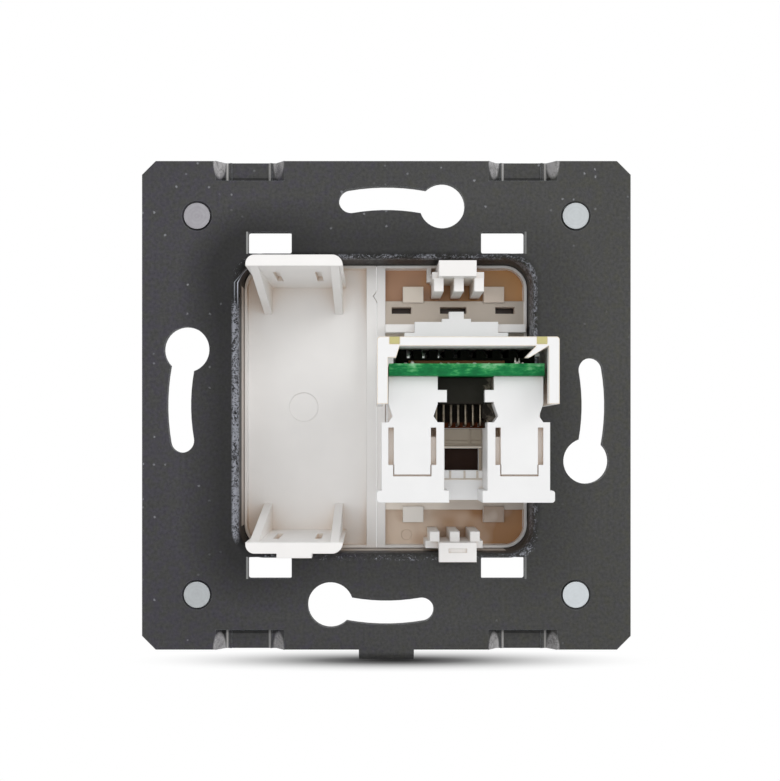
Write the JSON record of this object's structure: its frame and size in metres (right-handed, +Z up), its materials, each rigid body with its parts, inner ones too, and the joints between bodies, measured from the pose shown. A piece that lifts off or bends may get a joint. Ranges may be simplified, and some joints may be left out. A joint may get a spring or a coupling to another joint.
{
  "type": "flush network socket insert",
  "caption": "Flush wall socket insert: square steel mounting plate with keyhole slots, holding a blank half module and a modular network port with a capped terminal board behind.",
  "frame": {"origin": "centre of the mounting plate, on its rear face that lies against the wall box", "axes": "+X to the right and +Z up as seen from the wall side, +Y towards the room"},
  "size_m": [0.071, 0.0289, 0.0725],
  "materials": {
    "plate_paint": "fine textured powder coat",
    "rivet_steel": "bare turned steel",
    "module_plastic": "satin moulded",
    "jack_plastic": "satin moulded",
    "lug_plastic": "satin moulded",
    "board_laminate": "solder mask with a cut edge",
    "dark_plastic": "satin moulded",
    "contact_tin": "tin plated",
    "contact_bronze": "plated spring wire"
  },
  "bodies": {
    "root": {"mounting_plate": "plate_paint", "corner_rivets": "rivet_steel", "blank_module": "module_plastic", "port_module": "module_plastic", "jack_housing": "jack_plastic", "jack_cap": "jack_plastic", "cap_lug_left": "lug_plastic", "cap_lug_right": "lug_plastic", "circuit_board": "board_laminate", "terminal_block": "dark_plastic", "contact_carrier": "dark_plastic", "terminal_fork_1": "contact_tin", "terminal_fork_2": "contact_tin", "terminal_fork_3": "contact_tin", "terminal_fork_4": "contact_tin", "terminal_fork_5": "contact_tin", "terminal_fork_6": "contact_tin", "terminal_fork_7": "contact_tin", "terminal_fork_8": "contact_tin", "contact_wire_1": "contact_bronze", "contact_wire_2": "contact_bronze", "contact_wire_3": "contact_bronze", "contact_wire_4": "contact_bronze", "contact_wire_5": "contact_bronze", "contact_wire_6": "contact_bronze", "contact_wire_7": "contact_bronze", "contact_wire_8": "contact_bronze"}
  },
  "joints": []
}
